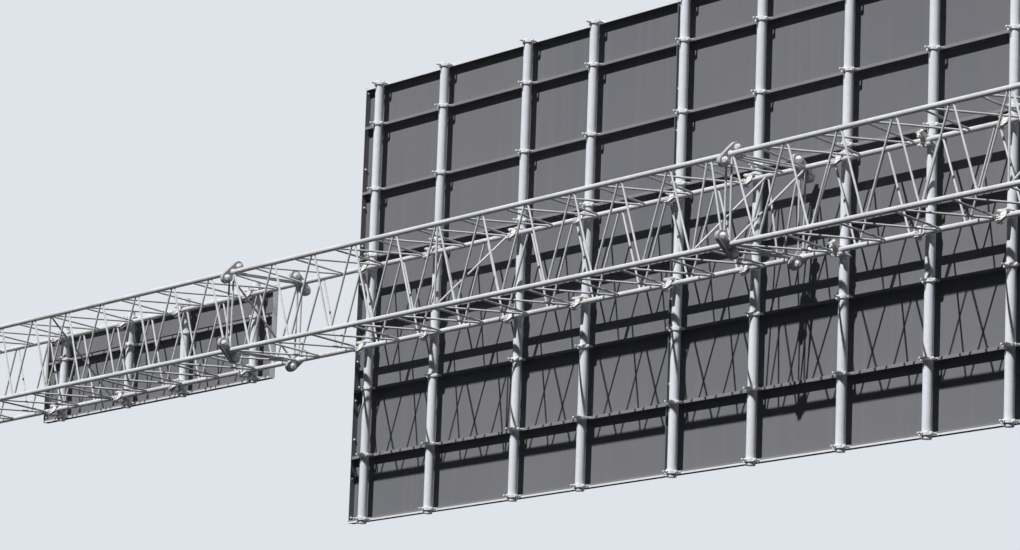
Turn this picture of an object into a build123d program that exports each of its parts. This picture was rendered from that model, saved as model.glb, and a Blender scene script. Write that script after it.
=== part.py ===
# Overhead road sign on a lattice beam: a large and a small sheet sign, each on
# upright posts clamped to the back chords of a square welded beam
# X runs along the beam, Y from the beam to the signs, Z up
# The origin is the middle of the front bottom chord, on the face of its left end plate
import os

from build123d import *

# Beam sections, in millimetres; height and depth are between the chords' centres
section_length = 5440
section_names = ["left", "middle", "right"]
turned_sections = ["left"]
beam_height = 540
beam_depth = 554
chord_diameter = 33.7
chord_sides = 8
bar_size = 12.4

# Lacing, struts and cross diagonals of a section
half_bay = 241
end_node_inset = 40
bar_spread = 21
end_frame_inset = 26
middle_frame_half_bays = 10
sections_without_first_diagonal = ["middle"]

# Bolted end plates of the chords
plate_thickness = 16
plate_bolt_pitch = 128
plate_width = 74
plate_corner = 22
plate_hole_diameter = 26

# Posts, and the clamp lugs of the couplers that hold them against the chords
post_diameter = 60.3
coupler_thickness = 12
coupler_width = 70
coupler_reach = 43
upturned_couplers = {"bottom": ["big_sign_post_7"], "top": ["big_sign_post_8"]}

# Channel rails, and the straps that clamp them to the posts
rail_depth = 40
rail_height = 22
rail_wall = 2.5
strap_thickness = 4
strap_rail_margin = 1
strap_ear_width = 12
strap_ear_clearance = 1.5

# Sign sheets, folded back along their upright edges
sheet_thickness = 3
post_foot_reach = 21
big_sheet_width = 3470
big_sheet_height = 3000
big_sheet_past_joint = 610
big_sheet_drop = 1168
big_post_top_reach = 4
big_foot_rail_rise = 430
big_rail_pitch = 454
big_strap_drop = 10
big_post_offsets = [[210, 980, 1925, 2645], [115, 880, 1710, 2475, 3170]]
small_sheet_width = 3123
small_sheet_before_joint = 457
small_sheet_drop = 57
small_post_top_reach = 35
small_foot_rail_rise = 430
small_post_offsets = [320, 1263, 2023, 2951]

# Worked out from the sizes above
beam_length = section_length * len(section_names)
chord_face = chord_diameter / 2
post_radius = post_diameter / 2
post_y = beam_depth + chord_face + post_radius
rail_y = post_y + post_radius
strap_height = rail_height - 2 * strap_rail_margin
lacing_back = beam_depth + bar_size / 2
strap_ear_reach = post_y - post_radius - strap_thickness - lacing_back - strap_ear_clearance
small_sheet_height = beam_height + 2 * small_sheet_drop

os.makedirs("parts", exist_ok=True)


def save(piece, name):
    piece.part.label = name
    export_step(piece.part, f"parts/{name}.step")


# Lacing nodes along a section: even half bays, then two shorter ones that close it
def lacing_nodes():
    last = section_length - end_node_inset
    even_bays = int((last - end_node_inset) // half_bay) - 1
    nodes = [end_node_inset + half_bay * number for number in range(even_bays + 1)]
    return nodes + [(nodes[-1] + last) / 2, last]


# A square bar between two points, with one pair of sides facing the given way
def bar(start, end, facing):
    run = Vector(*end) - Vector(*start)
    with BuildPart(mode=Mode.PRIVATE) as rod:
        with BuildSketch(Plane(origin=start, x_dir=facing, z_dir=run)):
            Rectangle(bar_size, bar_size)
        extrude(amount=run.length)
    return rod.part


# The zigzag of one face, as places along and across the beam. The two bars that meet
# at a node land side by side on the chord, and each runs on past the chord's face,
# to be cut off flush with it
def zigzag(starts_near, width):
    nodes = lacing_nodes()
    near, far = chord_face, width - chord_face
    overrun = bar_size
    runs = []
    for number, (begin, end) in enumerate(zip(nodes, nodes[1:])):
        begin += bar_spread if number else 0
        end -= bar_spread if end < nodes[-1] else 0
        lean = (end - begin) / (far - near) * overrun
        from_near = starts_near == (number % 2 == 0)
        low, high = (near - overrun, far + overrun)
        if from_near:
            runs.append(((begin - lean, low), (end + lean, high)))
        else:
            runs.append(((begin - lean, high), (end + lean, low)))
    return runs


# Upright faces: two chords with lacing and uprights welded between them
def upright_face(depth, starts_low, upright_places):
    near, far = chord_face, beam_height - chord_face
    bars = [
        bar((x1, depth, z1), (x2, depth, z2), (0, 1, 0))
        for (x1, z1), (x2, z2) in zigzag(starts_low, beam_height)
    ]
    bars += [bar((place, depth, near), (place, depth, far), (0, 1, 0)) for place in upright_places]
    with BuildPart() as face:
        add(bars)
        with Locations((section_length / 2, depth, beam_height / 2)):
            Box(section_length, bar_size, far - near, mode=Mode.INTERSECT)
        with BuildSketch(Plane.YZ.offset(plate_thickness)):
            with Locations((depth, 0), (depth, beam_height)):
                RegularPolygon(chord_face, chord_sides, major_radius=False, rotation=180 / chord_sides)
        extrude(amount=section_length - 2 * plate_thickness)
    return face


# Level faces: lacing and end struts between the front and the back chord
def level_face(height, starts_front, strut_places):
    near, far = chord_face, beam_depth - chord_face
    bars = [
        bar((x1, y1, height), (x2, y2, height), (0, 0, 1))
        for (x1, y1), (x2, y2) in zigzag(starts_front, beam_depth)
    ]
    bars += [bar((place, near, height), (place, far, height), (0, 0, 1)) for place in strut_places]
    with BuildPart() as face:
        add(bars)
        with Locations((section_length / 2, beam_depth / 2, height)):
            Box(section_length, far - near, bar_size, mode=Mode.INTERSECT)
    return face


# Diagonals across the beam, from the front bottom chord up to the back top chord,
# cut to sit on the slanting facets of both
def cross_diagonals(places):
    seat = chord_face * 2**-0.5
    side = bar_size / 2 * 2**-0.5
    with BuildPart() as diagonals:
        for place in places:
            with BuildSketch(Plane.YZ.offset(place - bar_size / 2)):
                Polygon(
                    (seat - side, seat + side),
                    (seat + side, seat - side),
                    (beam_depth - seat + side, beam_height - seat - side),
                    (beam_depth - seat - side, beam_height - seat + side),
                    align=None,
                )
            extrude(amount=bar_size)
    return diagonals


# One plate on each chord end, long across the corner of the beam. The holes are open
# at the two ends of the beam, and filled by their bolts inside the section joints
def end_plates(start):
    corners = {
        (0, 0): -45,
        (0, beam_height): 45,
        (beam_depth, 0): 45,
        (beam_depth, beam_height): -45,
    }
    with BuildPart() as plates:
        for side in (start, start + section_length - plate_thickness):
            with BuildSketch(Plane.YZ.offset(side)) as outline:
                for (depth, height), lean in corners.items():
                    with Locations(Location((depth, height, 0), (0, 0, lean))):
                        Rectangle(plate_bolt_pitch + plate_width, plate_width)
                chamfer(outline.vertices(), length=plate_corner)
                if side in (0, beam_length - plate_thickness):
                    for (depth, height), lean in corners.items():
                        with Locations(Location((depth, height, 0), (0, 0, lean))):
                            with GridLocations(plate_bolt_pitch, 0, 2, 1):
                                Circle(plate_hole_diameter / 2, mode=Mode.SUBTRACT)
            extrude(amount=plate_thickness)
    return plates


# The beam is one welded section three times over, the left one swung half round,
# and one of them lacks the first of its diagonals
end_frames = [end_frame_inset, section_length - end_frame_inset]
middle_frame = lacing_nodes()[int(middle_frame_half_bays)]
last_even_node = lacing_nodes()[-3]
diagonal_places = [end_node_inset, middle_frame, last_even_node]
section_faces = {
    "front_side": upright_face(0, False, end_frames + [middle_frame]),
    "back_side": upright_face(beam_depth, True, end_frames),
    "top_lacing": level_face(beam_height, False, end_frames),
    "bottom_lacing": level_face(0, True, end_frames),
    "cross_bracing": cross_diagonals(diagonal_places),
}
turned_names = {"top_lacing": "bottom_lacing", "bottom_lacing": "top_lacing"}
for number, section_name in enumerate(section_names):
    section_start = section_length * number
    place = Location((section_start, 0, 0))
    if section_name in turned_sections:
        place = Location((section_start + section_length, 0, beam_height), (0, 180, 0))
    faces = dict(section_faces)
    if section_name in sections_without_first_diagonal:
        faces["cross_bracing"] = cross_diagonals(diagonal_places[1:])
    for face_name, face in faces.items():
        if section_name in turned_sections:
            face_name = turned_names.get(face_name, face_name)
        with BuildPart() as placed_face:
            with Locations(place):
                add(face.part)
        save(placed_face, f"{section_name}_section_{face_name}")
    save(end_plates(section_start), f"{section_name}_section_end_plates")


# A sheet with its upright edges folded forward around the rails' ends
def sign_sheet(start, foot, width, height):
    with BuildPart() as tray:
        with BuildSketch(Plane.XY.offset(foot)):
            with Locations((start, rail_y)):
                Rectangle(width, rail_depth + sheet_thickness, align=Align.MIN)
            with Locations((start + sheet_thickness, rail_y)):
                Rectangle(width - 2 * sheet_thickness, rail_depth, align=Align.MIN, mode=Mode.SUBTRACT)
        extrude(amount=height)
    return tray


# Channel rails, open below, between the folded edges of one sheet
def sign_rails(start, foot, width, levels):
    with BuildPart() as rails:
        with BuildSketch(Plane.YZ.offset(start + sheet_thickness)):
            for level in levels:
                with Locations((rail_y + rail_depth / 2, foot + level)):
                    Rectangle(rail_depth, rail_height)
                with Locations((rail_y + rail_depth / 2, foot + level - rail_wall)):
                    Rectangle(rail_depth - 2 * rail_wall, rail_height, mode=Mode.SUBTRACT)
        extrude(amount=width - 2 * sheet_thickness)
    return rails


# Upright tubes, closed at both ends
def sign_posts(places, foot, length):
    with BuildPart() as posts:
        with BuildSketch(Plane.XY.offset(foot)):
            with Locations([(place, post_y) for place in places]):
                Circle(post_radius)
        extrude(amount=length)
    return posts


# Straps around the posts: the legs end on the rail, and the ears point away from it
def post_straps(places, foot, levels):
    inside = post_radius
    outside = post_radius + strap_thickness
    with BuildPart() as straps:
        for level in levels:
            with BuildSketch(Plane.XY.offset(foot + level - strap_height / 2)):
                with Locations([(place, post_y) for place in places]):
                    with Locations((0, inside)):
                        Rectangle(2 * outside, inside + outside, align=(Align.CENTER, Align.MAX))
                        Rectangle(
                            2 * inside, 2 * inside, align=(Align.CENTER, Align.MAX), mode=Mode.SUBTRACT
                        )
                    with Locations((0, -outside)):
                        Rectangle(strap_ear_width, strap_ear_reach, align=(Align.CENTER, Align.MAX))
            extrude(amount=strap_height)
    return straps


# Clamp lugs on the slanting facet of a back chord, in front of the posts. They point
# forward and down, or forward and up where they are upturned
def post_couplers(places, height, upturned_places):
    with BuildPart() as couplers:
        for place in places:
            lean = 135 if place in upturned_places else -135
            with BuildSketch(Plane.YZ.offset(place - coupler_width / 2)):
                with Locations(Location((beam_depth, height, 0), (0, 0, lean))):
                    with Locations((chord_face, 0)):
                        Rectangle(coupler_reach, coupler_thickness, align=(Align.MIN, Align.CENTER))
            extrude(amount=coupler_width)
    return couplers


# Rail heights above the foot of a sheet
lowest_rail = rail_height / 2
highest_big_rail = big_sheet_height - lowest_rail
big_rail_levels = [lowest_rail]
next_rail = lowest_rail + big_foot_rail_rise
while next_rail < highest_big_rail - rail_height:
    big_rail_levels.append(next_rail)
    next_rail += big_rail_pitch
big_rail_levels.append(highest_big_rail)
small_rail_levels = [lowest_rail, lowest_rail + small_foot_rail_rise, small_sheet_height - lowest_rail]

# Large sign: two sheets side by side, folded edge against folded edge
big_foot = -big_sheet_drop
big_posts = {}
for number, side in enumerate(["left", "right"]):
    start = section_length + big_sheet_past_joint + big_sheet_width * number
    places = [start + offset for offset in big_post_offsets[number]]
    for place in places:
        big_posts[f"big_sign_post_{len(big_posts) + 1}"] = place
    save(sign_sheet(start, big_foot, big_sheet_width, big_sheet_height), f"big_sign_{side}_sheet")
    save(sign_rails(start, big_foot, big_sheet_width, big_rail_levels), f"big_sign_{side}_rails")
    strap_levels = [level - big_strap_drop for level in big_rail_levels]
    save(post_straps(places, big_foot, strap_levels), f"big_sign_{side}_straps")
big_post_length = big_sheet_height + post_foot_reach + big_post_top_reach
for post_name, place in big_posts.items():
    save(sign_posts([place], big_foot - post_foot_reach, big_post_length), post_name)

# Small sign, reaching as far above the beam as below it
small_foot = -small_sheet_drop
small_start = section_length - small_sheet_before_joint - small_sheet_width
small_posts = [small_start + offset for offset in small_post_offsets]
small_post_length = small_sheet_height + post_foot_reach + small_post_top_reach
save(sign_sheet(small_start, small_foot, small_sheet_width, small_sheet_height), "small_sign_sheet")
save(sign_rails(small_start, small_foot, small_sheet_width, small_rail_levels), "small_sign_rails")
save(post_straps(small_posts, small_foot, small_rail_levels), "small_sign_straps")
save(sign_posts(small_posts, small_foot - post_foot_reach, small_post_length), "small_sign_posts")

for level_name, height in {"top": beam_height, "bottom": 0}.items():
    upturned = [big_posts[post_name] for post_name in upturned_couplers[level_name]]
    save(post_couplers(big_posts.values(), height, upturned), f"big_sign_{level_name}_couplers")
    save(post_couplers(small_posts, height, []), f"small_sign_{level_name}_couplers")
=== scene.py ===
import math
import random

import bpy
import bmesh
from mathutils import Matrix, Vector


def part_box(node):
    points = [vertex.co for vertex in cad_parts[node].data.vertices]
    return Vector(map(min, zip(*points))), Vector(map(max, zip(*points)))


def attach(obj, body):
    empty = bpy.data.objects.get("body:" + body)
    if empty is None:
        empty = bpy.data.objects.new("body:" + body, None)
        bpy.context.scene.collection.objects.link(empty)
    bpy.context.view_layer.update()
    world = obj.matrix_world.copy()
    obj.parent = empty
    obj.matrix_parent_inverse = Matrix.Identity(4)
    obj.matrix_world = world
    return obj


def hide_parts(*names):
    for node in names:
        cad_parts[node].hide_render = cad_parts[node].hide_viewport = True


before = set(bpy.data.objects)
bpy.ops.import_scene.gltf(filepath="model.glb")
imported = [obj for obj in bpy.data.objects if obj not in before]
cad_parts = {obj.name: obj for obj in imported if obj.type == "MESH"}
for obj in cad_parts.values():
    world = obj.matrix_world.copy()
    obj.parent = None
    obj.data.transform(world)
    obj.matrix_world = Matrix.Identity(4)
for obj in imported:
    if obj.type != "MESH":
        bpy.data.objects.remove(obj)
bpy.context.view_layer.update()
random.seed(7)

along = Vector((1, 0, 0))
across = Vector((0, 1, 0))
upright = Vector((0, 0, 1))


# Turns an sRGB hex colour into linear values
def linear(hexCode):
    channels = [int(hexCode[place:place + 2], 16) / 255 for place in (1, 3, 5)]
    return [c / 12.92 if c <= 0.04045 else ((c + 0.055) / 1.055) ** 2.4 for c in channels] + [1.0]


# Adds one node: settings fill its own values or its sockets, links feed its sockets.
# A colour mix takes its factor at socket 0 and its colours at 6 and 7, and gives output 2
def addNode(tree, kind, settings=None, links=None):
    node = tree.nodes.new(kind)
    for name, value in (settings or {}).items():
        if isinstance(name, int) or name in node.inputs:
            node.inputs[name].default_value = value
        else:
            setattr(node, name, value)
    for name, source in (links or {}).items():
        tree.links.new(source, node.inputs[name])
    return node


# A material with an empty node tree
def newFinish(name):
    finish = bpy.data.materials.new(name)
    finish.use_nodes = True
    finish.node_tree.nodes.clear()
    return finish, finish.node_tree


# Hot-dip galvanised steel: dull silver with soft zinc flowers, darker where it has weathered
def galvanised(name, look):
    finish, tree = newFinish(name)
    place = addNode(tree, "ShaderNodeTexCoord").outputs["Object"]
    flowers = addNode(tree, "ShaderNodeTexVoronoi", {"Scale": 1 / look["flower"]}, {"Vector": place})
    tone = addNode(tree, "ShaderNodeSeparateColor", {}, {"Color": flowers.outputs["Color"]})
    zinc = addNode(
        tree, "ShaderNodeMix",
        {"data_type": "RGBA", 6: linear(look["bright"]), 7: linear(look["dull"])},
        {0: tone.outputs["Red"]},
    )
    weather = addNode(
        tree, "ShaderNodeTexNoise", {"Scale": 1 / look["patch"], "Detail": 4.0}, {"Vector": place},
    )
    patches = addNode(
        tree, "ShaderNodeMapRange",
        {"From Min": 0.42, "From Max": 0.72, "To Min": 0.0, "To Max": look["weathering"]},
        {"Value": weather.outputs["Fac"]},
    )
    colour = addNode(
        tree, "ShaderNodeMix",
        {"data_type": "RGBA", 7: linear(look["weathered"])},
        {0: patches.outputs["Result"], 6: zinc.outputs[2]},
    )
    rough = addNode(
        tree, "ShaderNodeMapRange",
        {"To Min": look["roughness"][0], "To Max": look["roughness"][1]},
        {"Value": tone.outputs["Green"]},
    )
    grain = addNode(
        tree, "ShaderNodeTexNoise", {"Scale": 1 / look["grain"], "Detail": 2.0}, {"Vector": place},
    )
    bump = addNode(
        tree, "ShaderNodeBump", {"Strength": 0.25, "Distance": 0.0004}, {"Height": grain.outputs["Fac"]},
    )
    surface = addNode(
        tree, "ShaderNodeBsdfPrincipled",
        {"Metallic": look["metallic"], "Specular IOR Level": look["specular"]},
        {
            "Base Color": colour.outputs[2],
            "Roughness": rough.outputs["Result"],
            "Normal": bump.outputs["Normal"],
        },
    )
    addNode(tree, "ShaderNodeOutputMaterial", {}, {"Surface": surface.outputs["BSDF"]})
    return finish


# Real zinc flowers are 5 to 20 mm wide, and these are drawn at 8 to 18 mm
latticeZinc = galvanised("hotDipGalvanisedBars", {
    "bright": "#d4d4d6", "dull": "#c5c6c8", "weathered": "#a09e9b", "weathering": 0.5,
    "flower": 0.014, "patch": 0.35, "grain": 0.004, "metallic": 0.0, "roughness": (0.46, 0.6),
    "specular": 0.2,
})
plateZinc = galvanised("hotDipGalvanisedPlate", {
    "bright": "#bfbfc0", "dull": "#a9a9ab", "weathered": "#7d7873", "weathering": 0.6,
    "flower": 0.016, "patch": 0.12, "grain": 0.004, "metallic": 0.0, "roughness": (0.5, 0.65),
    "specular": 0.15,
})
postZinc = galvanised("hotDipGalvanisedTube", {
    "bright": "#e4e6ec", "dull": "#dcdee4", "weathered": "#c8cacf", "weathering": 0.5,
    "flower": 0.018, "patch": 0.5, "grain": 0.005, "metallic": 0.0, "roughness": (0.44, 0.55),
    "specular": 0.2,
})
couplerZinc = galvanised("hotDipGalvanisedForging", {
    "bright": "#e2e1dd", "dull": "#cfcfcc", "weathered": "#a39f98", "weathering": 0.5,
    "flower": 0.010, "patch": 0.05, "grain": 0.004, "metallic": 0.0, "roughness": (0.45, 0.6),
    "specular": 0.2,
})
# Zinc-plated fasteners and straps are brighter and smoother than dipped steel
brightZinc = galvanised("zincPlatedSteel", {
    "bright": "#ececee", "dull": "#dcdddf", "weathered": "#b9b7b4", "weathering": 0.35,
    "flower": 0.008, "patch": 0.06, "grain": 0.003, "metallic": 0.1, "roughness": (0.34, 0.46),
    "specular": 0.4,
})


# Coil-coated aluminium sheet: an even, half-matt grey with faint clouds and rain marks
def coatedSheet(name, look):
    finish, tree = newFinish(name)
    place = addNode(tree, "ShaderNodeTexCoord").outputs["Object"]
    clouds = addNode(
        tree, "ShaderNodeTexNoise", {"Scale": 1 / look["cloud"], "Detail": 3.0}, {"Vector": place},
    )
    tone = addNode(
        tree, "ShaderNodeMix",
        {"data_type": "RGBA", 6: linear(look["darker"]), 7: linear(look["lighter"])},
        {0: clouds.outputs["Fac"]},
    )
    stretched = addNode(
        tree, "ShaderNodeMapping", {"Scale": (1 / look["streak"], 1.0, 0.6)}, {"Vector": place},
    )
    rain = addNode(
        tree, "ShaderNodeTexNoise", {"Scale": 1.0, "Detail": 5.0}, {"Vector": stretched.outputs["Vector"]},
    )
    marks = addNode(
        tree, "ShaderNodeMapRange",
        {"From Min": 0.5, "From Max": 0.8, "To Min": 0.0, "To Max": look["marks"]},
        {"Value": rain.outputs["Fac"]},
    )
    colour = addNode(
        tree, "ShaderNodeMix",
        {"data_type": "RGBA", 7: linear(look["mark"])},
        {0: marks.outputs["Result"], 6: tone.outputs[2]},
    )
    peel = addNode(
        tree, "ShaderNodeTexNoise", {"Scale": 1 / look["peel"], "Detail": 1.0}, {"Vector": place},
    )
    bump = addNode(
        tree, "ShaderNodeBump", {"Strength": 0.15, "Distance": 0.0003}, {"Height": peel.outputs["Fac"]},
    )
    surface = addNode(
        tree, "ShaderNodeBsdfPrincipled",
        {
            "Roughness": look["roughness"], "Metallic": look["metallic"],
            "Specular IOR Level": look["specular"],
        },
        {"Base Color": colour.outputs[2], "Normal": bump.outputs["Normal"]},
    )
    addNode(tree, "ShaderNodeOutputMaterial", {}, {"Surface": surface.outputs["BSDF"]})
    return finish


sheetCoat = coatedSheet("coilCoatedAluminium", {
    "lighter": "#7a7a7c", "darker": "#6a6b71", "mark": "#848385", "marks": 0.3,
    "cloud": 1.5, "streak": 0.05, "peel": 0.006, "roughness": 0.6, "metallic": 0.0, "specular": 0.06,
})
railCoat = coatedSheet("coilCoatedChannel", {
    "lighter": "#868585", "darker": "#76767a", "mark": "#908e8e", "marks": 0.3,
    "cloud": 0.6, "streak": 0.05, "peel": 0.005, "roughness": 0.55, "metallic": 0.0, "specular": 0.06,
})
# Mill-finish aluminium edge profile: pale and satin, the bright line round the sign
edgeAluminium = coatedSheet("millFinishAluminium", {
    "lighter": "#eeeff0", "darker": "#e0e1e3", "mark": "#c9c9c8", "marks": 0.3,
    "cloud": 0.2, "streak": 0.03, "peel": 0.004, "roughness": 0.4, "metallic": 0.3, "specular": 0.4,
})


# Reflective film on the signs' faces: plain blue or white. Real cells are about 4 mm wide,
# drawn at 12 mm so that they show at this distance
def reflectiveFilm(name, look):
    finish, tree = newFinish(name)
    place = addNode(tree, "ShaderNodeTexCoord").outputs["Object"]
    cells = addNode(
        tree, "ShaderNodeTexVoronoi",
        {"feature": "DISTANCE_TO_EDGE", "Scale": 1 / look["cell"], "Randomness": 0.0}, {"Vector": place},
    )
    walls = addNode(
        tree, "ShaderNodeMapRange",
        {"From Min": 0.0, "From Max": 0.08, "To Min": 0.25, "To Max": 0.0},
        {"Value": cells.outputs["Distance"]},
    )
    haze = addNode(
        tree, "ShaderNodeTexNoise", {"Scale": 1 / look["haze"], "Detail": 3.0}, {"Vector": place},
    )
    tone = addNode(
        tree, "ShaderNodeMix",
        {"data_type": "RGBA", 6: linear(look["deep"]), 7: linear(look["pale"])},
        {0: haze.outputs["Fac"]},
    )
    colour = addNode(
        tree, "ShaderNodeMix",
        {"data_type": "RGBA", 7: linear(look["wall"])},
        {0: walls.outputs["Result"], 6: tone.outputs[2]},
    )
    surface = addNode(
        tree, "ShaderNodeBsdfPrincipled", {"Roughness": 0.35, "Coat Weight": 0.3},
        {"Base Color": colour.outputs[2]},
    )
    addNode(tree, "ShaderNodeOutputMaterial", {}, {"Surface": surface.outputs["BSDF"]})
    return finish


blueFilm = reflectiveFilm("blueReflectiveFilm", {
    "deep": "#1d4c8f", "pale": "#27599f", "wall": "#3f6fb0", "cell": 0.012, "haze": 0.6,
})
whiteFilm = reflectiveFilm("whiteReflectiveFilm", {
    "deep": "#dcdedf", "pale": "#e6e8e9", "wall": "#c8cbcd", "cell": 0.012, "haze": 0.6,
})
print("finishes made")


# Two directions square to a run
def sidesOf(run):
    first = run.cross(upright if abs(run.z) < 0.9 else along).normalized()
    return first, run.cross(first).normalized()


# Points evenly round a centre
def ring(centre, sideways, upward, radius, count, turn=0.0):
    angles = [turn + 2 * math.pi * number / count for number in range(count)]
    return [centre + radius * (math.cos(a) * sideways + math.sin(a) * upward) for a in angles]


# Joins rings of points into a closed tube, strip or bead
def skin(shape, rings, looped=False, finish=0):
    rows = [[shape.verts.new(point) for point in points] for points in rings]
    pairs = list(zip(rows, rows[1:])) + ([(rows[-1], rows[0])] if looped else [])
    faces = []
    for near, far in pairs:
        for number in range(len(near)):
            after = (number + 1) % len(near)
            faces.append(shape.faces.new((near[number], near[after], far[after], far[number])))
    if not looped:
        faces += [shape.faces.new(rows[0][::-1]), shape.faces.new(rows[-1])]
    for face in faces:
        face.material_index = finish


# A turned or six-sided piece along a run: profile holds (distance along, radius)
def turned(shape, start, run, profile, count=20, finish=0, turn=0.0):
    sideways, upward = sidesOf(run)
    rings = [ring(start + run * d, sideways, upward, r, count, turn) for d, r in profile]
    skin(shape, rings, finish=finish)


# A round rod that follows points
def bentRod(shape, points, radius, count=10, finish=0):
    rings, sideways = [], None
    for number, point in enumerate(points):
        run = (points[min(number + 1, len(points) - 1)] - points[max(number - 1, 0)]).normalized()
        if sideways is None:
            sideways = sidesOf(run)[0]
        sideways = (sideways - run * sideways.dot(run)).normalized()
        rings.append(ring(point, sideways, run.cross(sideways), radius, count))
    skin(shape, rings, finish=finish)


# A flat strip that follows points square to an axis, as wide as height along it, with eased edges
def flatStrip(shape, points, thickness, height, axis=upright, ease=0.0008, finish=0):
    rings = []
    for number, point in enumerate(points):
        before, after = points[max(number - 1, 0)], points[min(number + 1, len(points) - 1)]
        run = (after - before).normalized()
        out = run.cross(axis)
        half, tall = thickness / 2, height / 2
        corners = [
            (half - ease, tall), (half, tall - ease), (half, ease - tall), (half - ease, -tall),
            (ease - half, -tall), (-half, ease - tall), (-half, tall - ease), (ease - half, tall),
        ]
        rings.append([point + out * o + axis * u for o, u in corners])
    skin(shape, rings, finish=finish)


# A plate with round corners and eased edges, lying square to a run
def roundedPlate(shape, centre, sideways, upward, length, width, corner, thickness, ease=0.0015, finish=0):
    run = sideways.cross(upward)

    def outline(inset, depth):
        points = []
        reach = corner - inset
        for quarter, (sx, sy) in enumerate(((1, 1), (-1, 1), (-1, -1), (1, -1))):
            for step in range(9):
                angle = math.pi / 2 * (quarter + step / 8)
                x = sx * (length / 2 - corner) + reach * math.cos(angle)
                y = sy * (width / 2 - corner) + reach * math.sin(angle)
                points.append(centre + sideways * x + upward * y + run * depth)
        return points

    half = thickness / 2
    skin(shape, [
        outline(ease, -half), outline(0, ease - half), outline(0, half - ease), outline(ease, half),
    ], finish=finish)


# Bolt heads and nuts, as shares of their height and width, and the eased ends in metres
fastener = {
    "foot": 0.12,
    "shoulder": 0.85,
    "footWidth": 0.95,
    "topWidth": 0.88,
    "stubFoot": 0.9,
    "stubEase": 0.001,
    "washerRim": 0.8,
    "washerEase": 0.0006,
}


# A bolt head or nut by its width over flats, on a washer (radius, thickness), with the
# bolt's end standing out of it where stub gives a length
def hexBolt(shape, seat, run, flats, height, finish=0, stub=0.0, stubRadius=0.0, washer=None):
    corner = flats / 2 / math.cos(math.pi / 6)
    base = 0.0
    if washer:
        rim, base = washer
        turned(shape, seat, run, [
            (0, rim), (base * fastener["washerRim"], rim), (base, rim - fastener["washerEase"]),
        ], 20, finish)
    turn = random.random()
    top = base + height
    turned(shape, seat, run, [
        (base, corner * fastener["footWidth"]), (base + height * fastener["foot"], corner),
        (base + height * fastener["shoulder"], corner), (top, corner * fastener["topWidth"]),
    ], 6, finish, turn)
    if stub:
        ease = fastener["stubEase"]
        turned(shape, seat, run, [
            (base + height * fastener["stubFoot"], stubRadius), (top + stub - ease, stubRadius),
            (top + stub, stubRadius - ease),
        ], 12, finish)


# Writes the shape out as one piece that stands for CAD nodes. Edges that bend by more
# than sharp degrees stay hard
def keepPiece(shape, name, finishes, nodes, sharp=40):
    bmesh.ops.recalc_face_normals(shape, faces=shape.faces)
    for face in shape.faces:
        face.smooth = True
    for edge in shape.edges:
        edge.smooth = edge.is_manifold and edge.calc_face_angle(0) < math.radians(sharp)
    mesh = bpy.data.meshes.new(name)
    shape.to_mesh(mesh)
    shape.free()
    piece = bpy.data.objects.new(name, mesh)
    bpy.context.scene.collection.objects.link(piece)
    for finish in finishes:
        mesh.materials.append(finish)
    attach(piece, "root")
    if nodes:
        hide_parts(*nodes)
    return piece


# Gaps that tell a node's separate posts apart, and its separate rails or rows of straps
postGap = 0.2
rowGap = 0.05


# The low and high ends of a node's separate solids along one axis
def spansOf(node, axis, gap):
    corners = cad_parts[node].data.vertices
    places = sorted({round(getattr(corner.co, axis), 5) for corner in corners})
    spans = [[places[0], places[0]]]
    for place in places:
        if place - spans[-1][1] > gap:
            spans.append([place, place])
        spans[-1][1] = place
    return spans


def middlesOf(node, axis, gap):
    return [(low + high) / 2 for low, high in spansOf(node, axis, gap)]


# The chords, lacing rods and their welds. The CAD bars are square and its chords eight-sided
lattice = {
    "chordRadius": 0.01685,
    "chordSides": 28,
    "rodRadius": 0.007,
    "rodSides": 12,
    "rodSink": 0.003,  # how far a rod runs on into its chord
    "halfBay": 0.241,
    "endNode": 0.040,
    "endFrame": 0.026,
    "middleFrameHalfBays": 10,
    "rodSpread": 0.021,
    "beadRadius": 0.0026,
    "beadVariation": (0.8, 1.25),
    "beadWidth": 1.1,  # a bead's section, as shares of its radius
    "beadLength": 1.3,
    "beadSides": 5,
    "beadTurn": 0.4,
    "plate": 0.016,
    # the weld between a chord and its end plate: distance from the plate, radius
    "collar": [(-0.002, 0.0235), (0.001, 0.0235), (0.0045, 0.0205), (0.0075, 0.0172), (0.0085, 0.0160)],
}
low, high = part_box("middle_section_back_side")
frontY = 0.0
backY = (low.y + high.y) / 2
topZ = 0.540
sectionLength = 5.440
sectionNames = ["left", "middle", "right"]
beamLength = sectionLength * len(sectionNames)


# Lacing nodes along a section: even half bays, then two shorter ones that close it
def lacingNodes():
    last = sectionLength - lattice["endNode"]
    count = int((last - lattice["endNode"]) / lattice["halfBay"]) - 1
    nodes = [lattice["endNode"] + lattice["halfBay"] * number for number in range(count + 1)]
    return nodes + [(nodes[-1] + last) / 2, last]


# The ends of one zigzag, as places along the beam on the two chords, first chord and second
def zigzag(startsFirst):
    nodes = lacingNodes()
    rods = []
    for number, (begin, end) in enumerate(zip(nodes, nodes[1:])):
        begin += lattice["rodSpread"] if number else 0
        end -= lattice["rodSpread"] if end < nodes[-1] else 0
        onFirst = startsFirst == (number % 2 == 0)
        rods.append((begin, end) if onFirst else (end, begin))
    return rods


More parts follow.
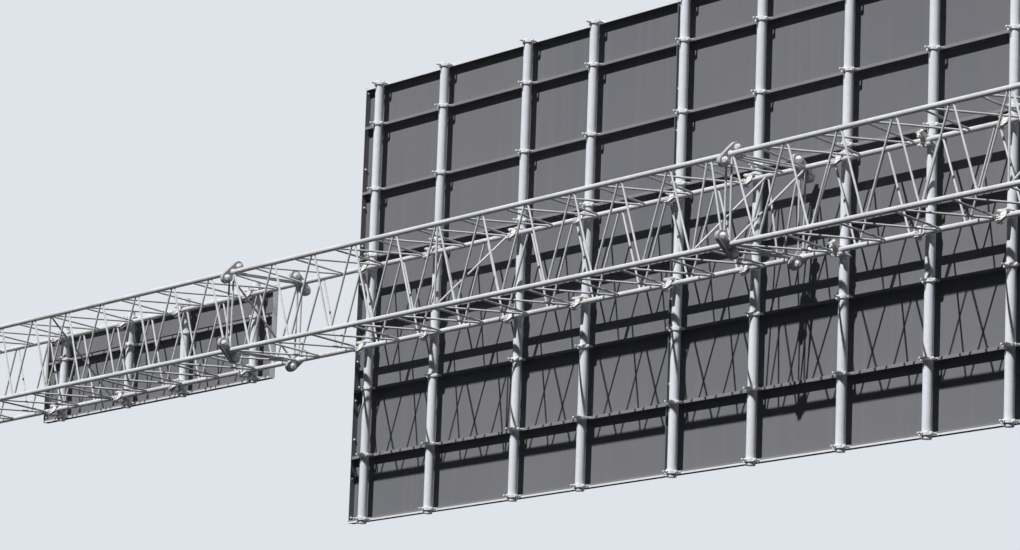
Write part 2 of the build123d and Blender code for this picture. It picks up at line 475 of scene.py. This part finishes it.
# A rod between two chords, cut to their round faces, with a weld bead round each end
def weldedRod(shape, start, end, firstChord, secondChord):
    run = (end - start).normalized()
    sideways, upward = sidesOf(run)
    sink, sides = lattice["rodSink"], lattice["beadSides"]
    turns = [lattice["beadTurn"] + 2 * math.pi * step / sides for step in range(sides)]
    rows = []
    for chord, out in ((firstChord, run), (secondChord, -run)):
        landing = []
        for point in ring(start, sideways, upward, lattice["rodRadius"], lattice["rodSides"]):
            offset = point - chord
            offset.x = 0
            level = Vector((0, out.y, out.z))
            a, b = level.dot(level), 2 * offset.dot(level)
            c = offset.dot(offset) - lattice["chordRadius"] ** 2
            reach = (-b + math.sqrt(max(b * b - 4 * a * c, 0))) / (2 * a)
            landing.append(point + out * reach)
        rows.append(landing)
    skin(shape, [[p - run * sink for p in rows[0]], [p + run * sink for p in rows[1]]])
    for landing, out in ((rows[0], run), (rows[1], -run)):
        middle = sum(landing, Vector()) / len(landing)
        bead = []
        for point in landing:
            away = point - middle
            away = (away - out * away.dot(out)).normalized()
            size = lattice["beadRadius"] * random.uniform(*lattice["beadVariation"])
            bead.append([
                point + away * (size * math.cos(a) * lattice["beadWidth"])
                + out * (size * math.sin(a) * lattice["beadLength"]) for a in turns
            ])
        skin(shape, bead, looped=True)


# A chord between its end plates, with the weld that joins it to each of them
def chordTube(shape, y, z):
    first, last = lattice["plate"], sectionLength - lattice["plate"]
    tube = [(0, lattice["chordRadius"]), (last - first, lattice["chordRadius"])]
    turned(shape, Vector((first, y, z)), along, tube, lattice["chordSides"])
    for end, out in ((first, 1), (last, -1)):
        turned(shape, Vector((end, y, z)), along * out, lattice["collar"], lattice["chordSides"])


# Two chords with lacing and uprights between them
def uprightFace(shape, y, startsLow, places):
    face = lattice["chordRadius"]
    low, high = Vector((0, y, 0)), Vector((0, y, topZ))
    runs = zigzag(startsLow) + [(place, place) for place in places]
    for first, second in runs:
        weldedRod(shape, Vector((first, y, face)), Vector((second, y, topZ - face)), low, high)
    for z in (0, topZ):
        chordTube(shape, y, z)


# Lacing and end struts between the front and the back chord
def levelFace(shape, z, startsFront, places):
    face = lattice["chordRadius"]
    near, far = Vector((0, frontY, z)), Vector((0, backY, z))
    runs = zigzag(startsFront) + [(place, place) for place in places]
    for first, second in runs:
        weldedRod(shape, Vector((first, frontY + face, z)), Vector((second, backY - face, z)), near, far)


# Diagonals across the beam, from the front bottom chord up to the back top chord
def crossFace(shape, places):
    face = lattice["chordRadius"] * math.sqrt(0.5)
    for place in places:
        weldedRod(
            shape, Vector((place, frontY + face, face)), Vector((place, backY - face, topZ - face)),
            Vector((0, frontY, 0)), Vector((0, backY, topZ)),
        )


# One section in its five faces, each of them a piece
def makeSection(side, start, turnedOver):
    nodes = lacingNodes()
    lastEvenNode = nodes[-3]
    ends = [lattice["endFrame"], sectionLength - lattice["endFrame"]]
    middle = [nodes[lattice["middleFrameHalfBays"]]]
    diagonals = [lattice["endNode"]] + middle + [lastEvenNode]
    # the middle section lacks the first of its diagonals
    if side == "middle":
        diagonals = diagonals[1:]
    faces = {
        "front_side": lambda shape: uprightFace(shape, frontY, False, ends + middle),
        "back_side": lambda shape: uprightFace(shape, backY, True, ends),
        "top_lacing": lambda shape: levelFace(shape, topZ, False, ends),
        "bottom_lacing": lambda shape: levelFace(shape, 0, True, ends),
        "cross_bracing": lambda shape: crossFace(shape, diagonals),
    }
    swapped = {"top_lacing": "bottom_lacing", "bottom_lacing": "top_lacing"}
    for faceName, make in faces.items():
        shape = bmesh.new()
        make(shape)
        # swung half round, so that it starts on the other chord
        if turnedOver:
            for corner in shape.verts:
                corner.co = Vector((start + sectionLength - corner.co.x, corner.co.y, topZ - corner.co.z))
            faceName = swapped.get(faceName, faceName)
        else:
            bmesh.ops.translate(shape, verts=shape.verts, vec=(start, 0, 0))
        node = f"{side}_section_{faceName}"
        keepPiece(shape, f"welded_{node}", [latticeZinc], [node])


for number, side in enumerate(sectionNames):
    makeSection(side, sectionLength * number, side == "left")
print("lattice sections welded")

# The chords' end plates and their M24 bolts
endPlate = {
    "width": 0.074,
    "thickness": lattice["plate"],
    "ease": 0.0015,
    "arcSteps": 16,
    "boltPitch": 0.128,
    "holeRadius": 0.013,
    "holeSteps": 24,
    "flats": 0.036,
    "headHeight": 0.015,
    "nutHeight": 0.019,
    "stub": 0.012,
    "stubRadius": 0.012,
    "washer": (0.022, 0.004),
}
# Each chord's place, and the lean of its plates in degrees
plateCorners = [
    (frontY, 0, -45), (frontY, topZ, 45), (backY, 0, 45), (backY, topZ, -45),
]


# A long oval plate with two holes, cut from a flat curve that is then given its thickness
def ovalPlate(shape, centreX, y, z, lean, holes):
    curve = bpy.data.curves.new("plateOutline", "CURVE")
    curve.dimensions = "2D"
    curve.fill_mode = "BOTH"
    ease = endPlate["ease"]
    curve.extrude = endPlate["thickness"] / 2 - ease
    curve.bevel_depth = ease
    curve.bevel_resolution = 1
    curve.offset = -ease
    half, radius = endPlate["boltPitch"] / 2, endPlate["width"] / 2
    outline = []
    for side in (1, -1):
        for step in range(endPlate["arcSteps"] + 1):
            angle = -math.pi / 2 + math.pi * step / endPlate["arcSteps"]
            outline.append((side * (half + radius * math.cos(angle)), side * radius * math.sin(angle)))
    loops = [outline]
    if holes:
        bore, steps = endPlate["holeRadius"], endPlate["holeSteps"]
        angles = [2 * math.pi * step / steps for step in range(steps)]
        for side in (1, -1):
            loops.append([(side * half + bore * math.cos(a), bore * math.sin(a)) for a in angles])
    for loop in loops:
        spline = curve.splines.new("POLY")
        spline.points.add(len(loop) - 1)
        for point, (u, v) in zip(spline.points, loop):
            point.co = (u, v, 0, 1)
        spline.use_cyclic_u = True
    holder = bpy.data.objects.new("plateOutline", curve)
    flat = bpy.data.meshes.new_from_object(holder)
    angle = math.radians(lean)
    # the curve's x runs along the lean, its y across it, and its z along the beam
    longWay = Vector((0, math.cos(angle), math.sin(angle)))
    wideWay = Vector((0, -math.sin(angle), math.cos(angle)))
    place = Matrix((longWay, wideWay, along)).transposed().to_4x4()
    place.translation = (centreX, y, z)
    flat.transform(place)
    shape.from_mesh(flat)
    bpy.data.objects.remove(holder)
    bpy.data.curves.remove(curve)
    bpy.data.meshes.remove(flat)
    return longWay * half


for number, side in enumerate(sectionNames):
    shape = bmesh.new()
    start = sectionLength * number
    thickness = endPlate["thickness"]
    for centreX in (start + thickness / 2, start + sectionLength - thickness / 2):
        beamEnd = min(centreX, beamLength - centreX) < thickness
        for y, z, lean in plateCorners:
            toBolt = ovalPlate(shape, centreX, y, z, lean, beamEnd)
            # the bolts of a joint belong to the section on its left
            if beamEnd or centreX < start + thickness:
                continue
            for way in (1, -1):
                middle = Vector((start + sectionLength, y, z)) + toBolt * way
                hexBolt(
                    shape, middle + along * thickness, along, endPlate["flats"],
                    endPlate["nutHeight"], 1, endPlate["stub"], endPlate["stubRadius"], endPlate["washer"],
                )
                hexBolt(
                    shape, middle - along * thickness, -along, endPlate["flats"],
                    endPlate["headHeight"], 1, washer=endPlate["washer"],
                )
    node = f"{side}_section_end_plates"
    keepPiece(shape, f"bolted_{node}", [plateZinc, brightZinc], [node])
print("end plates bolted")

# The upright tubes. Their caps sit a little inside the ends and rise towards the middle
post = {
    "wall": 0.0036,
    "ease": 0.0008,
    "sides": 40,
    "capInset": 0.0012,
    "capRise": 0.0004,
    "capMiddle": 0.020,
    "capShoulder": 0.6,  # as a share of the tube's radius
}
low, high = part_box("big_sign_post_1")
postRadius = (high.x - low.x) / 2
postY = (high.y + low.y) / 2


# A tube closed by a pressed-in cap at each end
def postTube(shape, x, foot, top):
    bore, ease, inset = postRadius - post["wall"], post["ease"], post["capInset"]
    profile = [
        (inset - post["capRise"], post["capMiddle"]), (inset, post["capShoulder"] * postRadius),
        (inset, bore), (0, bore), (0, postRadius - ease), (ease, postRadius),
    ]
    height = top - foot
    profile += [(height - depth, reach) for depth, reach in reversed(profile)]
    turned(shape, Vector((x, postY, foot)), upright, profile, post["sides"])


bigPosts = []
number = 1
while f"big_sign_post_{number}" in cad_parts:
    node = f"big_sign_post_{number}"
    low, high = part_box(node)
    bigPosts.append((low.x + high.x) / 2)
    shape = bmesh.new()
    postTube(shape, bigPosts[-1], low.z, high.z)
    keepPiece(shape, f"tube_{node}", [postZinc], [node])
    number += 1
smallPosts = middlesOf("small_sign_posts", "x", postGap)
shape = bmesh.new()
low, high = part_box("small_sign_posts")
for x in smallPosts:
    postTube(shape, x, low.z, high.z)
keepPiece(shape, "tube_small_sign_posts", [postZinc], ["small_sign_posts"])
print("posts set")

# The sheets of each sign, and the posts behind them
signSheets = {"big_sign": ["big_sign_left", "big_sign_right"], "small_sign": ["small_sign"]}
signPosts = {"big_sign": bigPosts, "small_sign": smallPosts}

# The channel rails, with the pale trims on the top and bottom ones
rail = {
    "wall": 0.0025,
    "bend": 0.003,
    "bendSteps": 3,
    "lipRise": 0.003,
    "topTrim": 0.021,
    "bottomTrim": 0.012,
    "trimWall": 0.0012,
    "trimLift": 0.0002,
}
# The clamps that hold the rails to the posts
clamp = {
    "strip": 0.007,
    "height": 0.020,
    "clearance": 0.0003,
    "wrap": 74,  # degrees round the post on each side of its front
    "wrapSteps": 20,
    "lift": {"big_sign": 0.008, "small_sign": 0.0},
    "neck": (0.0022, 0.0012),  # where the strip leaves the post for its ears
    "earStart": 0.0062,
    "earEnd": 0.056,
    "earBack": 0.005,  # how far the ears stand before the post's middle
    "boltSpread": 0.045,
    "boltRadius": 0.006,
    "headFlats": 0.017,
    "headHeight": 0.006,
    "washer": (0.0105, 0.0015),
    "sleeveRadius": 0.008,
    "sleeveEase": 0.001,
    "screwFlats": 0.019,
    "screwSink": 0.0005,
    "screwNut": 0.010,
    "screwReach": 0.034,
    "shortScrew": 0.013,
}


# A channel along the sheet, open below, its lip away from the sheet a little shorter
def channelRail(shape, x0, x1, y0, y1, z0, z1):
    wall, bend, rise = rail["wall"], rail["bend"], rail["lipRise"]
    outer = []
    for cy, cz, begin in ((y1 - bend, z1 - bend, 0), (y0 + bend, z1 - bend, 90)):
        for step in range(rail["bendSteps"] + 1):
            angle = math.radians(begin + 90 * step / rail["bendSteps"])
            outer.append((cy + bend * math.cos(angle), cz + bend * math.sin(angle)))
    profile = [(y1, z0)] + outer + [(y0, z0 + rise), (y0 + wall, z0 + rise), (y0 + wall, z1 - wall)]
    profile += [(y1 - wall, z1 - wall), (y1 - wall, z0)]
    skin(shape, [[Vector((x, y, z)) for y, z in profile] for x in (x0, x1)])


# A flat trim over a rail's lip, standing just proud of it
def trimStrip(shape, x0, x1, lip, z0, z1):
    wall, front = rail["trimWall"], lip - rail["trimLift"]
    profile = [(front, z0 + wall / 2), (front, z1 - wall / 2), (lip + wall, z1), (lip + wall, z0)]
    skin(shape, [[Vector((x, y, z)) for y, z in profile] for x in (x0, x1)], finish=1)


for sheet in signSheets["big_sign"] + signSheets["small_sign"]:
    node = f"{sheet}_rails"
    shape = bmesh.new()
    low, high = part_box(node)
    levels = spansOf(node, "z", rowGap)
    for z0, z1 in levels:
        channelRail(shape, low.x, high.x, low.y, high.y, z0, z1)
        # the rails at the sheet's top and bottom edges carry a pale trim
        if z0 == levels[0][0]:
            trimStrip(shape, low.x, high.x, low.y, z0, z0 + rail["bottomTrim"])
        elif z1 == levels[-1][1]:
            trimStrip(shape, low.x, high.x, low.y, z1 - rail["topTrim"], z1)
    keepPiece(shape, f"channel_{node}", [railCoat, edgeAluminium], [node], 25)


# A strip bent round the post's front, bolted through its ears to the rail, with a screw that locks the post
def postClamp(shape, x, z, railFace, screwReach):
    half = clamp["strip"] / 2
    radius = postRadius + half + clamp["clearance"]
    back = clamp["earBack"]
    wrap, steps = clamp["wrap"], clamp["wrapSteps"]
    turns = [math.radians(-wrap + 2 * wrap * step / steps) for step in range(steps + 1)]
    bend = [Vector((x + radius * math.sin(t), postY - radius * math.cos(t), z)) for t in turns]
    neckOut, neckAhead = clamp["neck"]
    ear = [
        (radius + neckOut, back + neckAhead), (radius + clamp["earStart"], back),
        (clamp["earEnd"], back),
    ]
    left = [Vector((x - out, postY - ahead, z)) for out, ahead in reversed(ear)]
    right = [Vector((x + out, postY - ahead, z)) for out, ahead in ear]
    flatStrip(shape, left + bend + right, clamp["strip"], clamp["height"])
    for way in (1, -1):
        seat = Vector((x + way * clamp["boltSpread"], postY - back - half, z))
        hexBolt(
            shape, seat, -across, clamp["headFlats"], clamp["headHeight"], washer=clamp["washer"],
        )
        deep = railFace - seat.y - clamp["strip"]
        sleeve, ease = clamp["sleeveRadius"], clamp["sleeveEase"]
        turned(shape, seat + across * clamp["strip"], across, [
            (0, sleeve - ease), (ease, sleeve), (deep - ease, sleeve), (deep, sleeve - ease),
        ], 16)
    front = Vector((x, postY - radius - half + clamp["screwSink"], z))
    stub = screwReach - clamp["screwNut"]
    hexBolt(
        shape, front, -across, clamp["screwFlats"], clamp["screwNut"],
        stub=stub, stubRadius=clamp["boltRadius"],
    )


for sign, sheets in signSheets.items():
    for sheet in sheets:
        shape = bmesh.new()
        low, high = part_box(f"{sheet}_rails")
        for z in middlesOf(f"{sheet}_straps", "z", rowGap):
            # between the chords the screws stop short of the lacing
            reach = clamp["shortScrew"] if 0 < z < topZ else clamp["screwReach"]
            for x in signPosts[sign]:
                if low.x < x < high.x:
                    postClamp(shape, x, z + clamp["lift"][sign], low.y, reach)
        keepPiece(shape, f"clamps_{sheet}", [brightZinc], [f"{sheet}_straps"])
print("rails and clamps fitted")

# The couplers between the back chords and the posts
coupler = {
    "width": 0.050,
    "jaw": 0.007,
    "clearance": 0.0002,
    "wrapSteps": 14,
    "hinge": 125,  # degrees round the chord from its front
    "earDrop": 38,  # degrees below level
    "earReach": 0.070,
    "lowerEarShorter": 0.004,
    "earGap": 0.010,
    "earBolt": 0.055,
    "earBoltRadius": 0.006,
    "earFlats": 0.022,
    "earNut": 0.011,
    "earStub": 0.011,
    "earHead": 0.008,
    "earWasher": (0.0135, 0.0025),
    "rodRadius": 0.005,
    "rodLift": 0.0294,
    "rodSpread": 0.0357,
    "rodFront": 0.034,
    "seat": (0.094, 0.022, 0.006),  # length, width and thickness of the plate under its nuts
    "seatCorner": 0.006,
    "seatFront": 0.012,
    "nutFlats": 0.019,
    "nutHeight": 0.010,
    "nutWasher": (0.012, 0.002),
    "upturned": (("bottom", 7), ("top", 8)),  # chord, and number of the large sign's post
}


# Points round half a circle, from the first direction by way of the second
def arcPoints(centre, first, second, radius, count=12):
    angles = [math.pi * step / count for step in range(count + 1)]
    return [centre + radius * (math.cos(a) * first + math.sin(a) * second) for a in angles]


# Two jaws round the chord that meet in bolted ears, and a U-bolt that draws the post on to
# them. The turn is 1, or -1 where the coupler is upturned
def makeCoupler(shape, x, z, turn):
    def at(ahead, rise, aside=0.0):
        return Vector((x + aside, backY - ahead, z + turn * rise))

    jaw, gap = coupler["jaw"], coupler["earGap"]
    radius = lattice["chordRadius"] + jaw / 2 + coupler["clearance"]
    drop, offset = math.radians(coupler["earDrop"]), (gap + jaw) / 2
    reachAlong, reachDown = math.cos(drop), math.sin(drop)
    bend = math.asin(offset / radius)
    for side in (1, -1):
        begin, end = side * math.radians(coupler["hinge"]), side * bend - drop
        points = []
        for step in range(coupler["wrapSteps"] + 1):
            angle = begin + (end - begin) * step / coupler["wrapSteps"]
            points.append(at(radius * math.cos(angle), radius * math.sin(angle)))
        reach = coupler["earReach"] - (0 if side == 1 else coupler["lowerEarShorter"])
        points.append(at(
            reach * reachAlong + side * offset * reachDown, side * offset * reachAlong - reach * reachDown,
        ))
        flatStrip(shape, points, jaw, coupler["width"], along)
    square = Vector((0, -reachDown, turn * reachAlong))
    bolt = at(coupler["earBolt"] * reachAlong, -coupler["earBolt"] * reachDown)
    outside = gap / 2 + jaw
    turned(shape, bolt - square * outside, square, [
        (0, coupler["earBoltRadius"]), (2 * outside, coupler["earBoltRadius"]),
    ], 12, 1)
    hexBolt(
        shape, bolt + square * outside, square, coupler["earFlats"], coupler["earNut"], 1,
        coupler["earStub"], coupler["earBoltRadius"], coupler["earWasher"],
    )
    hexBolt(
        shape, bolt - square * outside, -square, coupler["earFlats"], coupler["earHead"], 1,
        washer=coupler["earWasher"],
    )

    length, tall, thick = coupler["seat"]
    lift, spread, front = coupler["rodLift"], coupler["rodSpread"], coupler["seatFront"]
    roundedPlate(shape, at(front, lift), along, upright, length, tall, coupler["seatCorner"], thick)
    ends = [at(coupler["rodFront"], lift, spread), at(coupler["rodFront"], lift, -spread)]
    centre = Vector((x, postY, z + turn * lift))
    uBolt = ends[:1] + arcPoints(centre, along, across, spread) + ends[1:]
    bentRod(shape, uBolt, coupler["rodRadius"], finish=1)
    for way in (1, -1):
        hexBolt(
            shape, at(front + thick / 2, lift, way * spread), -across, coupler["nutFlats"],
            coupler["nutHeight"], 1, washer=coupler["nutWasher"],
        )


for sign, posts in signPosts.items():
    for level in ("top", "bottom"):
        node = f"{sign}_{level}_couplers"
        shape = bmesh.new()
        for number, x in enumerate(posts, start=1):
            upturned = sign == "big_sign" and (level, number) in coupler["upturned"]
            makeCoupler(shape, x, topZ if level == "top" else 0, -1 if upturned else 1)
        keepPiece(shape, f"clamped_{node}", [couplerZinc, brightZinc], [node])
print("couplers clamped")

# The sheets and their film. The tray, the film and the border lie at different depths
# behind the CAD face, so that no two of their faces share a plane
sheetShape = {
    "thickness": 0.003,
    "bend": 0.004,
    "bendSteps": 4,
    "boltPitch": 0.250,
    "boltMargin": 0.040,
    "boltDepth": 0.018,
    "boltFlats": 0.013,
    "boltHeight": 0.0055,
    "boltStub": 0.004,
    "boltRadius": 0.004,
    "boltWasher": (0.008, 0.0015),
    "trayDepth": 0.0008,
    "filmDepth": 0.00088,
    "borderDepth": 0.0005,
    "filmThickness": 0.00048,
    "filmInset": 0.002,
    "filmCorner": 0.010,
    "leastCorner": 0.002,
    "cornerSteps": 8,
    "borderInset": 0.045,
    "borderWidth": 0.040,
    "borderCorner": 0.12,
}
sheetFinishes = [sheetCoat, blueFilm, brightZinc, edgeAluminium]


# A sheet with its upright edges folded round the rails' ends
def signTray(shape, low, high):
    thickness, bend = sheetShape["thickness"], sheetShape["bend"]
    front = high.y - sheetShape["trayDepth"]
    outer = [(low.x, low.y)]
    for cx, begin in ((low.x + bend, 180), (high.x - bend, 90)):
        for step in range(sheetShape["bendSteps"] + 1):
            angle = math.radians(begin - 90 * step / sheetShape["bendSteps"])
            outer.append((cx + bend * math.cos(angle), front - bend + bend * math.sin(angle)))
    outer.append((high.x, low.y))
    inner = [(high.x - thickness, low.y), (high.x - thickness, front - thickness)]
    inner += [(low.x + thickness, front - thickness), (low.x + thickness, low.y)]
    skin(shape, [[Vector((x, y, z)) for x, y in outer + inner] for z in (low.z, high.z)])
    # the outsides of the folded edges are bare metal
    for face in shape.faces:
        sides = {round(corner.co.x, 6) for corner in face.verts}
        if sides in ({round(low.x, 6)}, {round(high.x, 6)}):
            face.material_index = sheetFinishes.index(edgeAluminium)


# A flat panel of film on a sign's face, or a ring of it where width isn't nothing
def filmPanel(shape, x0, x1, z0, z1, y, corner, width, finish):
    def outline(inset):
        points = []
        reach = max(corner - inset, sheetShape["leastCorner"])
        cuts = ((x1, z1, 0), (x0, z1, 90), (x0, z0, 180), (x1, z0, 270))
        for px, pz, begin in cuts:
            sx, sz = (1 if px == x1 else -1), (1 if pz == z1 else -1)
            cx, cz = px - sx * (inset + reach), pz - sz * (inset + reach)
            for step in range(sheetShape["cornerSteps"] + 1):
                angle = math.radians(begin + 90 * step / sheetShape["cornerSteps"])
                points.append(Vector((cx + reach * math.cos(angle), y, cz + reach * math.sin(angle))))
        return points

    lift = across * sheetShape["filmThickness"]
    if width:
        outside, inside = outline(0), outline(width)
        rings = [outside, [p + lift for p in outside], [p + lift for p in inside], inside]
        loops = [[r[number] for r in rings] for number in range(len(outside))]
        skin(shape, loops, looped=True, finish=finish)
    else:
        edge = outline(0)
        skin(shape, [edge, [p + lift for p in edge]], finish=finish)


# Bolts through the folded edges, evenly spread between the margins
def edgeBolts(shape, low, high):
    margin, wall = sheetShape["boltMargin"], sheetShape["thickness"]
    span = high.z - low.z - 2 * margin
    count = int(span / sheetShape["boltPitch"])
    for step in range(count + 1):
        z = low.z + margin + span * step / count
        for x, way in ((low.x + wall, 1), (high.x - wall, -1)):
            hexBolt(
                shape, Vector((x, low.y + sheetShape["boltDepth"], z)), along * way,
                sheetShape["boltFlats"], sheetShape["boltHeight"], sheetFinishes.index(brightZinc),
                sheetShape["boltStub"], sheetShape["boltRadius"], sheetShape["boltWasher"],
            )


for sheet in signSheets["big_sign"] + signSheets["small_sign"]:
    node = f"{sheet}_sheet"
    low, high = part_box(node)
    inset = sheetShape["filmInset"]
    shape = bmesh.new()
    signTray(shape, low, high)
    filmPanel(
        shape, low.x + inset, high.x - inset, low.z + inset, high.z - inset,
        high.y - sheetShape["filmDepth"], sheetShape["filmCorner"], 0, sheetFinishes.index(blueFilm),
    )
    edgeBolts(shape, low, high)
    keepPiece(shape, f"tray_{node}", sheetFinishes, [node], 30)

# One white border round the whole face of each sign
for sign, sheets in signSheets.items():
    low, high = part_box(f"{sheets[0]}_sheet")[0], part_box(f"{sheets[-1]}_sheet")[1]
    inset = sheetShape["borderInset"]
    shape = bmesh.new()
    filmPanel(
        shape, low.x + inset, high.x - inset, low.z + inset, high.z - inset,
        high.y - sheetShape["borderDepth"], sheetShape["borderCorner"], sheetShape["borderWidth"], 0,
    )
    keepPiece(shape, f"{sign}_border", [whiteFilm], [])
print("signs faced")


# Gives one for rays of the named kinds, and nothing for the others
def raysOf(tree, first, *others):
    rays = addNode(tree, "ShaderNodeLightPath")
    seen = rays.outputs[first]
    for kind in others:
        larger = addNode(
            tree, "ShaderNodeMath", {"operation": "MAXIMUM"}, {0: seen, 1: rays.outputs[kind]},
        )
        seen = larger.outputs["Value"]
    return seen


# A surface that looks pale but sends little light back on to the part
def plainSurface(name, shown, bounced):
    finish, tree = newFinish(name)
    colour = addNode(
        tree, "ShaderNodeMix", {"data_type": "RGBA", 6: linear(bounced), 7: linear(shown)},
        {0: raysOf(tree, "Is Camera Ray", "Is Glossy Ray")},
    )
    surface = addNode(tree, "ShaderNodeBsdfDiffuse", {}, {"Color": colour.outputs[2]})
    addNode(tree, "ShaderNodeOutputMaterial", {}, {"Surface": surface.outputs["BSDF"]})
    return finish


# The floor lies well below the part, which hangs free
stageSet = {"floorLevel": -6.7, "floorReach": 60.0, "centre": (8.2, 0.3)}
shape = bmesh.new()
bmesh.ops.create_grid(shape, x_segments=8, y_segments=8, size=stageSet["floorReach"])
mesh = bpy.data.meshes.new("floor")
shape.to_mesh(mesh)
shape.free()
floor = bpy.data.objects.new("floor", mesh)
floor.location = (*stageSet["centre"], stageSet["floorLevel"])
bpy.context.scene.collection.objects.link(floor)
mesh.materials.append(plainSurface("paleFloor", "#c2c4c7", "#1e1f22"))

light = {
    "sunTravel": (-0.16, 1.0, -1.30),
    "sunStrength": 5.0,
    "sunAngle": 0.6,
    "fillTravel": (0.1, -0.9, -0.4),
    "fillStrength": 2.6,
    "fillAngle": 20,
    "ambient": 0.038,
    "ambientColour": "#cdd6ff",
    "backdrop": "#dfe4ea",
}


# A sun, given by the direction its light travels in
def addSun(name, travel, strength, angle):
    lamp = bpy.data.lights.new(name, "SUN")
    lamp.energy = strength
    lamp.angle = math.radians(angle)
    holder = bpy.data.objects.new(name, lamp)
    holder.rotation_euler = Vector(travel).to_track_quat("-Z", "Y").to_euler()
    bpy.context.scene.collection.objects.link(holder)


addSun("keySun", light["sunTravel"], light["sunStrength"], light["sunAngle"])
addSun("fillSun", light["fillTravel"], light["fillStrength"], light["fillAngle"])

world = bpy.data.worlds.new("paleSurround")
bpy.context.scene.world = world
world.use_nodes = True
tree = world.node_tree
tree.nodes.clear()
seen = raysOf(tree, "Is Camera Ray", "Is Glossy Ray", "Is Transmission Ray")
soft = addNode(
    tree, "ShaderNodeBackground",
    {"Color": linear(light["ambientColour"]), "Strength": light["ambient"]},
)
pale = addNode(tree, "ShaderNodeBackground", {"Color": linear(light["backdrop"]), "Strength": 1.0})
mixed = addNode(tree, "ShaderNodeMixShader", {}, {
    0: seen, 1: soft.outputs["Background"], 2: pale.outputs["Background"],
})
addNode(tree, "ShaderNodeOutputWorld", {}, {"Surface": mixed.outputs["Shader"]})

# The photograph was taken from below, from beyond the sign's right end, with a long lens
camera = {
    "place": (31.600, -16.271, -5.078),
    "right": (0.58429, 0.81076, 0.03560),
    "up": (0.12674, -0.13450, 0.98278),
    "ahead": (-0.80158, 0.56972, 0.18134),
    "lens": 162.04,
    "sensorWidth": 36,
    "farEnd": 500,
}
lensData = bpy.data.cameras.new("camera")
lensData.lens = camera["lens"]
lensData.sensor_width = camera["sensorWidth"]
lensData.sensor_fit = "HORIZONTAL"
lensData.clip_end = camera["farEnd"]
viewer = bpy.data.objects.new("camera", lensData)
turn = Matrix((Vector(camera["right"]), Vector(camera["up"]), -Vector(camera["ahead"]))).transposed().to_4x4()
turn.translation = camera["place"]
viewer.matrix_world = turn
bpy.context.scene.collection.objects.link(viewer)
bpy.context.scene.camera = viewer
bpy.context.scene.view_settings.view_transform = "Standard"
print("stage and camera set")
